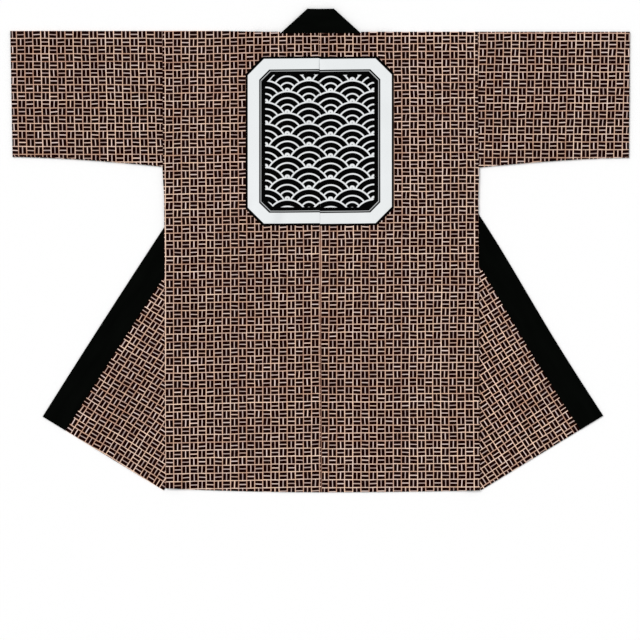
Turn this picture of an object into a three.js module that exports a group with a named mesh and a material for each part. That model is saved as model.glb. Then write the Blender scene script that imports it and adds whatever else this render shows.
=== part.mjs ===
// A hanten, the short open coat with straight sleeves that is worn at Japanese festivals.
// It lies flat with its back up. Each front is folded on the slant from the foot of its side seam
// to the neck, so that its lower corner and the collar band swing out past the side of the coat.
//
// Five pieces of cloth, each a wall of its own thickness:
//   body_left, body_right    one length each, from the back hem over the shoulder to the front hem
//   sleeve_left, sleeve_right    one length each, folded along the top and closed under the arm
//   collar    one long doubled band, from the hem of one front round the neck to the other
//
// Millimetres, +X to the right of the back, +Y towards the collar, +Z up from the table.
// The coat is worked out from the middle of its shoulder line, and moved to its middle at the end.
// Three levels of cloth lie on each other: the swung fronts on the table (level 1), the rest of the
// fronts over them (level 2) and the back on top (level 3).
import * as THREE from "three";

// Sizes of the cut
const BODY_LENGTH = 851; // shoulder to the middle of the back hem
const NECK_DROP = 2.4; // the neckline lies this far below the shoulder line
const HEM_SLANT = THREE.MathUtils.degToRad(2.35); // the front hem falls towards the opening
const NECK_WIDTH = 45; // width of the band across the back of the neck
const BAND_WIDTH = 49.5; // width of the band down the fronts
const FOLD_SPACE = 10.5; // between the two folds of the band, along its free edge
const SLEEVE_LENGTH = 281;
const ARMHOLE_DEPTH = 251;
const CUFF_DEPTH = 233;
const CUFF_TAPER = 3; // the lower end of the cuff lies this far inside its upper end
const UNDERARM_BEND = 1.6; // power of the underarm seam's curve, flat at the cuff
const LEAN = 4.5; // the hem lies this far to the right of the shoulders

// Thicknesses and clearances
const WALL = 1.1;
const COLLAR_WALL = 1.6;
const GAP = 0.3;
const SEAM = GAP / 2; // each piece keeps half the gap from the line of the seam
const NECK_CLEARANCE = 0.7; // the body keeps this much more from the band where the band folds

// Mesh
const STEP = 30; // spacing of the points along the cloth
const CORNER_ROW = 8; // from a sharp corner to the row of points before it
const FOLD_SEGMENTS = 4;
const COLLAR_CELLS = 2;

// The two sides of the coat, as they lie.
//   halfWidth: centre seam to side seam
//   neckHalf: centre seam to the end of the shoulder
//   hemAtSide: shoulder to the foot of the side seam
//   frontBelow: how far the front lies below the back at that foot
//   bow: how far the swung front bends outwards at the middle of its length
//   pull: how far its lower corner lies inwards
//   shoulderRise: the sleeves' top edge above the neck
const SIDES = [
  {
    name: "left",
    sign: -1,
    halfWidth: 289.6,
    neckHalf: 71,
    hemAtSide: 843.6,
    frontBelow: 5.5,
    bow: 5,
    pull: 4,
    shoulderRise: 2,
  },
  {
    name: "right",
    sign: 1,
    halfWidth: 293.4,
    neckHalf: 77,
    hemAtSide: 847.5,
    frontBelow: 0.7,
    bow: 13,
    pull: -1,
    shoulderRise: 0.5,
  },
];

// Heights of the undersides where cloth lies on cloth
const OVER_CLOTH = WALL + GAP;
const OVER_BAND = COLLAR_WALL + GAP;
const NECK_LEVEL = 2 * OVER_BAND; // back of the neck: over the band, which lies over itself
const NECK_SAG = 1.2; // the middle of the neck sinks by this, where no cloth is under it
const SAG_REACH = 22;

// Cloth passes full height for MARGIN beyond what it lies on, and then sinks over REACH.
const MARGIN = 44;
const REACH = 24;
const BACK_MARGIN = 9;
const BACK_REACH = 52;
const NECK_REACH = 62;

// The largest waves in the top layer: middle, direction, half length, half width and height
const WAVES = [
  { x: -190, y: -470, turn: 97, length: 230, width: 58, height: 1.5 },
  { x: -62, y: -610, turn: 86, length: 200, width: 52, height: 1.1 },
  { x: 88, y: -520, turn: 93, length: 260, width: 60, height: 1.4 },
  { x: 214, y: -330, turn: 84, length: 190, width: 54, height: 1.2 },
  { x: 236, y: -735, turn: 72, length: 110, width: 46, height: 1.8 },
  { x: -236, y: -742, turn: 110, length: 100, width: 46, height: 1.3 },
  { x: -430, y: -118, turn: 12, length: 120, width: 48, height: 1.2 },
  { x: 438, y: -96, turn: -9, length: 130, width: 50, height: 1.4 },
  { x: -330, y: -196, turn: 38, length: 84, width: 44, height: 1.1 },
  { x: 336, y: -190, turn: -35, length: 88, width: 44, height: 1.2 },
];

const WAVE_FOOT = 0.12; // share of a wave's height that is cut off at its foot

const smooth = (t) => {
  const c = THREE.MathUtils.clamp(t, 0, 1);
  return c * c * (3 - 2 * c);
};

// 1 up to margin away from a thing, sinking to 0 over reach
const cover = (distance, margin, reach) => smooth((margin + reach - distance) / reach);

// Distance outside a convex outline given counterclockwise, negative inside
function outside(outline, x, y) {
  let most = -Infinity;
  outline.forEach((p, i) => {
    const q = outline[(i + 1) % outline.length];
    const edge = Math.hypot(q.x - p.x, q.y - p.y);
    most = Math.max(most, ((x - p.x) * (q.y - p.y) - (y - p.y) * (q.x - p.x)) / edge);
  });
  return most;
}

// Height of the waves, the same for every piece of the top layer. Each ends level with the rest.
function wave(x, y) {
  return WAVES.reduce((sum, w) => {
    const turn = THREE.MathUtils.degToRad(w.turn);
    const along = ((x - w.x) * Math.cos(turn) + (y - w.y) * Math.sin(turn)) / w.length;
    const across = ((y - w.y) * Math.cos(turn) - (x - w.x) * Math.sin(turn)) / w.width;
    const crest = Math.exp(-along * along - across * across) - WAVE_FOOT;
    return sum + (w.height * Math.max(crest, 0)) / (1 - WAVE_FOOT);
  }, 0);
}

// Everything about one side is worked out as if it were the left one, with x below zero.
// The slanted fold runs from the foot of the side seam to the collar's free edge.
function sideOf(side) {
  const foot = { x: -side.halfWidth, y: -side.hemAtSide - side.frontBelow };
  const top = { x: BAND_WIDTH - side.neckHalf, y: NECK_WIDTH - NECK_DROP - FOLD_SPACE };
  const length = Math.hypot(top.x - foot.x, top.y - foot.y);
  const along = { x: (top.x - foot.x) / length, y: (top.y - foot.y) / length };
  const normal = { x: along.y, y: -along.x };
  const fold = { at: foot, along, normal };
  const frontHem = (x) => foot.y - (x - foot.x) * Math.tan(HEM_SLANT);
  const mirrored = (p) => {
    const off = offsetFrom(fold, p.x, p.y);
    return { x: p.x - 2 * off * normal.x, y: p.y - 2 * off * normal.y };
  };
  const seamHem = { x: -side.neckHalf, y: frontHem(-side.neckHalf) };
  const freeHem = { x: top.x, y: frontHem(top.x) };
  const seamTop = { x: -side.neckHalf, y: yOnFold(fold, -side.neckHalf) };
  const swungSeam = mirrored(seamHem);
  const swungFree = mirrored(freeHem);
  const bandLength = Math.hypot(swungFree.x - top.x, swungFree.y - top.y);
  const bandAlong = {
    x: (swungFree.x - top.x) / bandLength,
    y: (swungFree.y - top.y) / bandLength,
  };
  return {
    ...side,
    fold,
    top,
    frontHem,
    bandLength,
    bandAlong,
    band: [top, swungFree, swungSeam, seamTop],
    swungCloth: [seamTop, swungSeam, foot],
    neckFold: [{ x: -side.neckHalf, y: -NECK_DROP }, seamTop, top],
  };
}

const offsetFrom = (line, x, y) =>
  (x - line.at.x) * line.normal.x + (y - line.at.y) * line.normal.y;

const yOnFold = (fold, x) => fold.at.y + ((x - fold.at.x) * fold.along.y) / fold.along.x;

// Underside of level 2, the part of the front that isn't swung out
function frontHeight(s, x, y) {
  const overBand = OVER_BAND * cover(outside(s.band, x, y), MARGIN + s.bow, REACH);
  const overCloth = OVER_CLOTH * cover(outside(s.swungCloth, x, y), MARGIN, REACH);
  return Math.max(overBand, overCloth);
}

// Underside of level 3, the back. It sinks to the table past the slanted fold.
function backHeight(s, x, y) {
  const off = Math.max(offsetFrom(s.fold, x, y), 0);
  const foldX = x - off * s.fold.normal.x;
  const foldY = y - off * s.fold.normal.y;
  const overFront =
    (frontHeight(s, foldX, foldY) + OVER_CLOTH) * cover(off, BACK_MARGIN, BACK_REACH);
  const overCollar = NECK_LEVEL * cover(outside(s.neckFold, x, y), MARGIN, REACH);
  const pastNeck = Math.max(-s.neckHalf - x, 0);
  const belowNeck = Math.max(-NECK_DROP - y, 0);
  const atNeck = neckHeight(x) * cover(Math.hypot(pastNeck, belowNeck), GAP, NECK_REACH);
  return Math.max(overFront, overCollar, atNeck) + wave(x * -s.sign, y);
}

const shoulderLine = (s, x) => s.shoulderRise * smooth((-x - s.neckHalf) / 120);

// The back hem is lowest at the centre seam.
const backHem = (s, x) =>
  -BODY_LENGTH + (BODY_LENGTH - s.hemAtSide) * (x / s.halfWidth) ** 2;

// Folds a flat place over a line. Before the line it stays, past the line it is mirrored, and the
// turn, from 0 to half a turn, says how far round the bend it lies.
function foldOver(line, radius, x, y) {
  const off = offsetFrom(line, x, y);
  const half = (Math.PI * radius) / 2;
  const turn = THREE.MathUtils.clamp((off + half) / radius, 0, Math.PI);
  let to = off;
  if (off > half) to = -off;
  else if (off > -half) to = radius * Math.sin(turn) - half;
  return { x: x + line.normal.x * (to - off), y: y + line.normal.y * (to - off), turn };
}

// Moves what is swung out sideways, by its bow and its pull. Nothing moves at the fold.
function bowed(s, place) {
  const dx = place.x - s.top.x;
  const dy = place.y - s.top.y;
  const down = (dx * s.bandAlong.x + dy * s.bandAlong.y) / s.bandLength;
  const fromFold = -offsetFrom(s.fold, place.x, place.y);
  const out = down * (4 * s.bow * (1 - down) - s.pull) * smooth(fromFold / 85);
  return { x: place.x + out * s.bandAlong.y, y: place.y - out * s.bandAlong.x };
}

const BAND_STRETCH = BAND_WIDTH / NECK_WIDTH - 1;
const neckHeight = (x) => NECK_LEVEL - NECK_SAG * cover(Math.abs(x), 0, SAG_REACH);
const FOLD_RADIUS = OVER_BAND / 2;
const FOLD_HALF = (Math.PI * FOLD_RADIUS) / 2;
const SHOULDER_RADIUS = OVER_CLOTH / 2;
const SHOULDER_HALF = (Math.PI * SHOULDER_RADIUS) / 2;

// A point of a sheet's middle, with the direction of its outer face
const point = (x, y, z, nx = 0, ny = 0, nz = 1) => ({ x, y, z, nx, ny, nz });

const bend = (above, below, turn) =>
  (above + below) / 2 + ((above - below) / 2) * Math.cos(turn);

const backPoint = (s) => ({ x, y }) => point(x, y, backHeight(s, x, y) + WALL / 2);

// A point of the front, from where it would lie if the coat were closed. Its outer face looks down
// until the slanted fold turns it up.
const frontPoint = (s) => ({ x, y }) => {
  const folded = foldOver(s.fold, FOLD_RADIUS, x, y);
  const place = folded.turn === Math.PI ? bowed(s, folded) : folded;
  const above = frontHeight(s, place.x, place.y) + WALL / 2;
  const z = bend(above, WALL / 2, folded.turn);
  const out = -Math.sin(folded.turn);
  const up = -Math.cos(folded.turn);
  return point(place.x, place.y, z, s.fold.normal.x * out, s.fold.normal.y * out, up);
};

// Triangles between two rows of points that run the same way, taking the nearer next point.
// extraLow and extraHigh say that the first row goes on round a corner at that end, along the line
// to the other row's end, which then isn't joined to it before the corner.
function zip(rowA, rowB, extraLow = false, extraHigh = false) {
  const faces = [];
  let i = 0;
  let j = 0;
  const apart = (p, q) => Math.hypot(p.x - q.x, p.y - q.y, p.z - q.z);
  while (i < rowA.length - 1 || j < rowB.length - 1) {
    const waitA = extraLow && j === 0;
    const waitB = extraHigh && j === rowB.length - 2 && i < rowA.length - 1;
    const stepA = i < rowA.length - 1 && !waitA ? apart(rowA[i + 1], rowB[j]) : Infinity;
    const stepB = j < rowB.length - 1 && !waitB ? apart(rowA[i], rowB[j + 1]) : Infinity;
    if (stepA <= stepB) {
      faces.push([rowA[i], rowA[i + 1], rowB[j]]);
      i += 1;
    } else {
      faces.push([rowA[i], rowB[j + 1], rowB[j]]);
      j += 1;
    }
  }
  return faces;
}

const zipAll = (rows) => rows.slice(1).flatMap((row, i) => zip(rows[i], row));

// Triangles over rows of flat places, which pointOf bends. The edges between the ends of two rows
// get points of their own, so that an edge that runs nearly beside the rows is fine enough.
function zipFlat(rows, pointOf) {
  const between = (p, q) => {
    const parts = Math.max(1, Math.round(Math.hypot(q.x - p.x, q.y - p.y) / STEP));
    return Array.from({ length: parts - 1 }, (_, i) => ({
      x: THREE.MathUtils.lerp(p.x, q.x, (i + 1) / parts),
      y: THREE.MathUtils.lerp(p.y, q.y, (i + 1) / parts),
    }));
  };
  return rows.slice(1).flatMap((row, i) => {
    if (row.length === 1) return zip(rows[i].map(pointOf), row.map(pointOf));
    const low = between(rows[i][0], row[0]).reverse();
    const high = between(rows[i][rows[i].length - 1], row[row.length - 1]);
    const longer = [...low, ...rows[i], ...high];
    return zip(longer.map(pointOf), row.map(pointOf), low.length > 0, high.length > 0);
  });
}

// A closed wall round a sheet: each point is moved half the wall outwards and half inwards, and
// the sheet's edges are joined. place says where a point of the flat coat ends up.
function wallOf(faces, wall, place) {
  const index = new Map();
  const points = [];
  const numberOf = (p) => {
    const key = [p.x, p.y, p.z, p.nz].map((v) => v.toFixed(3)).join();
    if (!index.has(key)) {
      index.set(key, points.length);
      points.push(p);
    }
    return index.get(key);
  };
  const sheet = [];
  for (const face of faces) {
    const [a, b, c] = face.map(numberOf);
    if (a === b || b === c || c === a) continue;
    const [p, q, r] = [a, b, c].map((i) => new THREE.Vector3(points[i].x, points[i].y, points[i].z));
    const facing = q.sub(p).cross(r.sub(p));
    const outer = [a, b, c].reduce(
      (sum, i) => sum.add(new THREE.Vector3(points[i].nx, points[i].ny, points[i].nz)),
      new THREE.Vector3(),
    );
    sheet.push(facing.dot(outer) > 0 ? [a, b, c] : [a, c, b]);
  }
  const count = points.length;
  const positions = [wall / 2, -wall / 2].flatMap((out) =>
    points.flatMap((p) => place(p.x + p.nx * out, p.y + p.ny * out, p.z + p.nz * out)),
  );
  const edges = new Set(sheet.flatMap(([a, b, c]) => [`${a},${b}`, `${b},${c}`, `${c},${a}`]));
  const rim = [];
  for (const [a, b] of [...edges].map((edge) => edge.split(",").map(Number))) {
    if (edges.has(`${b},${a}`)) continue;
    rim.push([b, a, a + count], [b, a + count, b + count]);
  }
  const inner = sheet.map(([a, b, c]) => [a + count, c + count, b + count]);
  const geometry = new THREE.BufferGeometry();
  geometry.setAttribute("position", new THREE.Float32BufferAttribute(positions, 3));
  geometry.setIndex([...sheet, ...inner, ...rim].flat());
  geometry.computeVertexNormals();
  return geometry;
}

// Where a point of one side ends up: its own side of the coat, leaning with the whole body
function placer(sign) {
  return (x, y, z) => [-sign * x + LEAN * (-y / BODY_LENGTH - 0.5), y, z];
}

// Turns a right-hand solid's faces round, because the mirror image faces inwards
function facingOut(geometry, sign) {
  if (sign > 0) {
    const index = geometry.index.array;
    for (let i = 0; i < index.length; i += 3) {
      [index[i + 1], index[i + 2]] = [index[i + 2], index[i + 1]];
    }
    geometry.computeVertexNormals();
  }
  return geometry;
}

// Stations from low to high: the ends, and every multiple of STEP that is not too near an end.
// A row always has a point between its ends, unless it is a corner.
function stations(low, high) {
  if (high - low < 1e-6) return [low];
  const near = STEP * 0.25;
  const between = [];
  for (let k = Math.ceil((low + near) / STEP); k * STEP < high - near; k += 1) between.push(k * STEP);
  return [low, ...(between.length > 0 ? between : [(low + high) / 2]), high];
}

// Evenly spaced values from low to high, no further apart than STEP
function spread(low, high) {
  const parts = Math.max(1, Math.round(Math.abs(high - low) / STEP));
  return Array.from({ length: parts + 1 }, (_, i) => low + ((high - low) * i) / parts);
}

// Points where a line beside the slanted fold, at the distance off from it, runs inside an outline
function rowInside(s, off, outline) {
  const { at, along, normal } = s.fold;
  const hits = [];
  outline.forEach((p, i) => {
    const q = outline[(i + 1) % outline.length];
    const fromP = offsetFrom(s.fold, p.x, p.y) - off;
    const fromQ = offsetFrom(s.fold, q.x, q.y) - off;
    if (Math.min(fromP, fromQ) > 1e-9 || Math.max(fromP, fromQ) < -1e-9) return;
    const share = fromP === fromQ ? 0 : fromP / (fromP - fromQ);
    const x = THREE.MathUtils.lerp(p.x, q.x, share) - at.x;
    const y = THREE.MathUtils.lerp(p.y, q.y, share) - at.y;
    hits.push(x * along.x + y * along.y);
  });
  return stations(Math.min(...hits), Math.max(...hits)).map((b) => ({
    x: at.x + normal.x * off + along.x * b,
    y: at.y + normal.y * off + along.y * b,
  }));
}

// Distances of the rows of points from the slanted fold: each corner's, and evenly between them
const rowsThrough = (corners) =>
  corners.slice(1).flatMap((to, i) => spread(corners[i], to).slice(i === 0 ? 0 : 1));

// One body length: the back, the bend over the shoulder, and the front with its slanted fold.
// Its rows of points all run beside the slanted fold, so that the levels have their points in the
// same places and lie evenly on each other.
function bodyPanel(s) {
  const shoulder = spread(-s.halfWidth, -s.neckHalf - SEAM - NECK_CLEARANCE).map((x) => ({
    x,
    y: shoulderLine(s, x) - SHOULDER_HALF,
  }));
  const shoulderEnd = shoulder[shoulder.length - 1];
  const neckEnd = { x: shoulderEnd.x, y: -NECK_DROP - SEAM - NECK_CLEARANCE };
  const neckMiddle = { x: -SEAM, y: -NECK_DROP - SEAM };
  const hem = spread(-SEAM, -s.halfWidth).map((x) => ({ x, y: backHem(s, x) }));
  const backOutline = [...shoulder, neckEnd, neckMiddle, ...hem];
  const atFold = yOnFold(s.fold, -s.neckHalf);
  const collarSeam = [
    { x: -s.neckHalf - SEAM - NECK_CLEARANCE, y: atFold + BAND_WIDTH / 2 },
    { x: -s.neckHalf - SEAM - NECK_CLEARANCE, y: atFold - BAND_WIDTH / 2 },
    { x: -s.neckHalf - SEAM, y: atFold - 2 * BAND_WIDTH },
    { x: -s.neckHalf - SEAM, y: s.frontHem(-s.neckHalf - SEAM) },
  ];
  const frontOutline = [...shoulder, ...collarSeam, s.fold.at];
  const offset = (p) => offsetFrom(s.fold, p.x, p.y);
  const backRow = (off) => rowInside(s, off, backOutline);
  const frontRow = (off) => rowInside(s, off, frontOutline);

  const outer = rowsThrough([offset(shoulder[0]), offset(shoulderEnd)]);
  const backInner = rowsThrough([
    offset(shoulderEnd),
    offset(hem[hem.length - 1]),
    BACK_MARGIN,
    offset(neckMiddle),
    BACK_MARGIN + BACK_REACH,
    offset(hem[0]) - CORNER_ROW,
    offset(hem[0]),
  ]);
  const backOuterRows = outer.map(backRow);
  const lastOuter = backOuterRows.pop();
  const neckRow = [...lastOuter.slice(0, -1), neckEnd];
  backOuterRows.push([...neckRow, shoulderEnd]);
  const backInnerRows = [neckRow, ...backInner.slice(1).map(backRow)];
  const bends = Array.from(
    { length: FOLD_SEGMENTS },
    (_, i) => FOLD_HALF * ((2 * (i + 1)) / FOLD_SEGMENTS - 1),
  );
  const frontRows = [
    ...outer,
    ...rowsThrough([offset(shoulderEnd), -FOLD_HALF]).slice(1),
    ...bends,
    ...rowsThrough([
      FOLD_HALF,
      offset(collarSeam[1]),
      offset(collarSeam[2]),
      offset(collarSeam[3]) - CORNER_ROW,
      offset(collarSeam[3]),
    ]).slice(1),
  ].map(frontRow);

  const above = backOuterRows.map((row) => backPoint(s)(row[row.length - 1]));
  const under = frontRows.map((row) => frontPoint(s)(row[row.length - 1]));
  const bendRows = Array.from({ length: FOLD_SEGMENTS + 1 }, (_, k) => {
    const turn = (Math.PI * k) / FOLD_SEGMENTS;
    return above.map((end, i) => {
      if (k === 0) return end;
      if (k === FOLD_SEGMENTS) return under[i];
      const y = end.y + SHOULDER_RADIUS * Math.sin(turn);
      return point(end.x, y, bend(end.z, under[i].z, turn), 0, Math.sin(turn), Math.cos(turn));
    });
  });

  const faces = [
    ...zipFlat(backOuterRows, backPoint(s)),
    ...zipFlat(backInnerRows, backPoint(s)),
    ...zipFlat(frontRows, frontPoint(s)),
    ...zipAll(bendRows),
  ];
  return facingOut(wallOf(faces, WALL, placer(s.sign)), s.sign);
}

// A sleeve: one length folded along its top edge, its two layers meeting at the underarm seam
function sleeve(s) {
  const armhole = -s.halfWidth - GAP;
  const columns = spread(0, SLEEVE_LENGTH);
  const rows = spread(0, ARMHOLE_DEPTH).map((d) => d / ARMHOLE_DEPTH);
  const column = (out) => {
    const along = 1 - out / SLEEVE_LENGTH;
    const depth = CUFF_DEPTH + (ARMHOLE_DEPTH - CUFF_DEPTH) * along ** UNDERARM_BEND;
    const top = shoulderLine(s, armhole - out) - SHOULDER_HALF;
    const at = (down) => ({
      x: armhole - out + CUFF_TAPER * (out / SLEEVE_LENGTH) * down,
      y: top - (depth - SHOULDER_HALF) * down,
    });
    const upper = rows.map((down) => {
      const { x, y } = at(1 - down);
      return point(x, y, OVER_CLOTH + WALL / 2 + wave(x * -s.sign, y));
    });
    const lower = rows.map((down) => point(at(down).x, at(down).y, WALL / 2, 0, 0, -1));
    const above = upper[upper.length - 1];
    const turned = Array.from({ length: FOLD_SEGMENTS - 1 }, (_, i) => {
      const turn = (Math.PI * (i + 1)) / FOLD_SEGMENTS;
      const y = above.y + SHOULDER_RADIUS * Math.sin(turn);
      const z = bend(above.z, WALL / 2, turn);
      return point(above.x, y, z, 0, Math.sin(turn), Math.cos(turn));
    });
    return [...upper, ...turned, ...lower];
  };
  const faces = zipAll(columns.map(column));
  return facingOut(wallOf(faces, WALL, placer(s.sign)), s.sign);
}

// The collar band, from the middle of the back neck to the hem of one front. Flat, it runs outwards
// along the neckline. It turns down over a fold at the end of the shoulder, and is swung out by the
// slanted fold. along is the distance from the middle, across the distance from the sewn edge.
function collarPoint(s, along, across) {
  const corner = {
    at: { x: -s.neckHalf, y: -NECK_DROP },
    normal: { x: -Math.SQRT1_2, y: Math.SQRT1_2 },
  };
  const first = foldOver(corner, FOLD_RADIUS, -along, across - NECK_DROP);
  const x = first.x + across * BAND_STRETCH * Math.min(along / (s.neckHalf - across), 1);
  if (first.turn < Math.PI) {
    const z = bend(neckHeight(x), OVER_BAND, first.turn) + COLLAR_WALL / 2;
    const out = Math.sin(first.turn);
    const [nx, ny] = [corner.normal.x * out, corner.normal.y * out];
    return point(x, first.y, z, nx, ny, Math.cos(first.turn));
  }
  const second = foldOver(s.fold, FOLD_RADIUS, x, first.y);
  const place = second.turn === Math.PI ? bowed(s, second) : second;
  const z = bend(OVER_BAND, 0, second.turn) + COLLAR_WALL / 2;
  const out = -Math.sin(second.turn);
  const up = -Math.cos(second.turn);
  return point(place.x, place.y, z, s.fold.normal.x * out, s.fold.normal.y * out, up);
}

// Rows of the band from the middle of the neck to one hem. Each row crosses the band, slanted like
// the fold that it is next to: sewn and free are its distances along the two edges.
function collarRows(s) {
  const edges = Array.from({ length: COLLAR_CELLS + 1 }, (_, i) =>
    THREE.MathUtils.lerp(SEAM, NECK_WIDTH, i / COLLAR_CELLS),
  );
  const foldedX = (across) => across * (1 + BAND_STRETCH) - s.neckHalf;
  const onCorner = (across, off) => s.neckHalf - across + off * Math.SQRT2;
  const onSlant = (across, off) => {
    const y = yOnFold(s.fold, foldedX(across)) - off / s.fold.along.x;
    return s.neckHalf - NECK_DROP - y;
  };
  const atHem = (across) => s.neckHalf - NECK_DROP - s.frontHem(foldedX(across));
  const middle = () => 0;
  const between = (from, to, parts, last) =>
    Array.from({ length: last ? parts + 1 : parts }, (_, i) =>
      edges.map((across) => {
        const share = i / parts;
        const along = from(across) * (1 - share) + to(across) * share;
        return collarPoint(s, along, across);
      }),
    );
  const cornerAt = (off) => (across) => onCorner(across, off);
  const slantAt = (off) => (across) => onSlant(across, off);
  const hemParts = Math.round(s.bandLength / STEP);
  return [
    ...between(middle, cornerAt(-FOLD_HALF), 3),
    ...between(cornerAt(-FOLD_HALF), cornerAt(FOLD_HALF), FOLD_SEGMENTS),
    ...between(cornerAt(FOLD_HALF), slantAt(-FOLD_HALF), 3),
    ...between(slantAt(-FOLD_HALF), slantAt(FOLD_HALF), FOLD_SEGMENTS),
    ...between(slantAt(FOLD_HALF), atHem, hemParts, true),
  ];
}

function collar([left, right]) {
  const mirror = (p) => ({ ...p, x: -p.x, nx: -p.nx });
  const rightRows = collarRows(right).map((row) => row.map(mirror));
  const rows = [...collarRows(left).reverse(), ...rightRows.slice(1)];
  return wallOf(zipAll(rows), COLLAR_WALL, placer(-1));
}

// Colours are averages of the print and the plain black band.
const PRINT = { color: 0x6c554b, roughness: 0.92, metalness: 0 };
const BLACK = { color: 0x090b0a, roughness: 0.85, metalness: 0 };

function piece(name, geometry, look) {
  const mesh = new THREE.Mesh(geometry, new THREE.MeshStandardMaterial(look));
  mesh.name = name;
  return mesh;
}

const hanten = new THREE.Group();
const sides = SIDES.map(sideOf);
for (const s of sides) {
  hanten.add(piece(`body_${s.name}`, bodyPanel(s), PRINT));
  hanten.add(piece(`sleeve_${s.name}`, sleeve(s), PRINT));
}
hanten.add(piece("collar", collar(sides), BLACK));

// The middle of the whole coat as it lies becomes the origin.
const middle = new THREE.Box3().setFromObject(hanten).getCenter(new THREE.Vector3());
hanten.position.set(-middle.x, -middle.y, 0);

export default hanten;
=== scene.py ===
# The looks of a hanten that lies flat with its back up: its five pieces of printed cotton, the black
# collar band, the white-framed panel on the back, a pale floor and soft light.
#
# The coat is worked out in millimetres from the middle of its shoulder line, one side at a time as if
# it were the left one, and is placed in the frame at the end. Three levels of cloth lie on each
# other: the swung fronts on the floor, the rest of the fronts over them, and the back on top.
import math
from types import SimpleNamespace

import bmesh
import bpy
import numpy as np
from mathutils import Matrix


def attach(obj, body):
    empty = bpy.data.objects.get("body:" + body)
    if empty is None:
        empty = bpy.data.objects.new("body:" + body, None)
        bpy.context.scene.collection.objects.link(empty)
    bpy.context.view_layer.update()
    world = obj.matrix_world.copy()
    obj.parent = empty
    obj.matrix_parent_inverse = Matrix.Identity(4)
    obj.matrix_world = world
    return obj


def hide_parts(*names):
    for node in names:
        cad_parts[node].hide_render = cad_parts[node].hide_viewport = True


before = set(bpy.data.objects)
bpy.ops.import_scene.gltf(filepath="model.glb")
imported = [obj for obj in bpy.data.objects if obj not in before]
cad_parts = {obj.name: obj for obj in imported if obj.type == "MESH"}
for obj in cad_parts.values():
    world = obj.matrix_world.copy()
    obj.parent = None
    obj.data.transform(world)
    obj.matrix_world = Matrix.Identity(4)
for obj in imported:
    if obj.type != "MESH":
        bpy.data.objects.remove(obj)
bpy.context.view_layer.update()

bl_info = {
    "name": "Hanten Laid Flat",
    "version": (1, 0, 0),
    "blender": (4, 5, 0),
    "location": "3D View > Sidebar > Hanten",
    "description": "Cloth, print, floor and light of a hanten that lies with its back up",
    "category": "Object",
}

MM = 0.001

# Sizes of the cut, in millimetres
BODY_LENGTH = 851.0
NECK_DROP = 2.4
HEM_SLANT = math.radians(2.35)
NECK_WIDTH = 45.0
BAND_WIDTH = 49.5
FOLD_SPACE = 10.5
SLEEVE_LENGTH = 281.0
ARMHOLE_DEPTH = 251.0
CUFF_DEPTH = 233.0
CUFF_TAPER = 3.0
UNDERARM_BEND = 1.6

# How the coat lies in the frame: how far it leans down its length, and its shoulder line's middle
LEAN = 4.5
MIDDLE = (0.354, 404.026)

# Thicknesses and clearances
WALL = 1.1
COLLAR_WALL = 1.6
GAP = 0.3
SEAM = GAP / 2
NECK_CLEARANCE = 0.7
CENTRE_SEAM = 0.05

# Heights of the undersides where cloth lies on cloth, how far each is held and eased out, and the
# radii of the folds
OVER_CLOTH = WALL + GAP
OVER_BAND = COLLAR_WALL + GAP
NECK_LEVEL = 2 * OVER_BAND
NECK_SAG = 1.2
SAG_REACH = 22.0
MARGIN = 44.0
REACH = 24.0
BACK_MARGIN = 9.0
BACK_REACH = 52.0
NECK_REACH = 62.0
FOLD_RADIUS = OVER_BAND / 2
FOLD_HALF = math.pi * FOLD_RADIUS / 2
SHOULDER_RADIUS = OVER_CLOTH / 2
SHOULDER_HALF = math.pi * SHOULDER_RADIUS / 2
BAND_STRETCH = BAND_WIDTH / NECK_WIDTH - 1

# Reach of the eased steps that shape the shoulders, the swung fronts and the side edges
SHOULDER_REACH = 120.0
BOW_EASE = 85.0
RIPPLE_START = 0.32
RIPPLE_HALF = 0.34
WAIST_REACH = 60.0
CLOSING_WIDTH = 20.0
CLOSING_LENGTH = 1.5 * BAND_WIDTH

# Spacing of the points, and how near an edge its second row or column lies, in millimetres or as a
# share of the width, so that the edge looks rolled
FINE = 5.0
EDGE = 0.9
BODY_EDGE_SHARE = 0.004
NECK_EDGE_SHARE = 0.012
SLEEVE_EDGE_SHARE = 0.003
BAND_EDGE_SHARE = 0.018
FOLD_PARTS = 8
ROLL_PARTS = 4
ROLL_CLEARANCE = 1.0
NECK_PARTS = 14
FRONT_PARTS = 110
SWUNG_PARTS = 130
BAND_PARTS = 9
HALF_NECK_PARTS = 12
SHOULDER_BAND_PARTS = 10

# A distance, in millimetres, that says that no seam is near
FAR = 1000.0

# The largest waves of the top layer: middle, turn in degrees, half length, half width and height
WAVES = (
    (-190, -470, 97, 230, 58, 1.5),
    (-62, -610, 86, 200, 52, 1.1),
    (88, -520, 93, 260, 60, 1.4),
    (214, -330, 84, 190, 54, 1.2),
    (236, -735, 72, 110, 46, 1.8),
    (-236, -742, 110, 100, 46, 1.3),
    (-430, -118, 12, 120, 48, 1.2),
    (438, -96, -9, 130, 50, 1.4),
    (-330, -196, 38, 84, 44, 1.1),
    (336, -190, -35, 88, 44, 1.2),
)
WAVE_FOOT = 0.12

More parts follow.
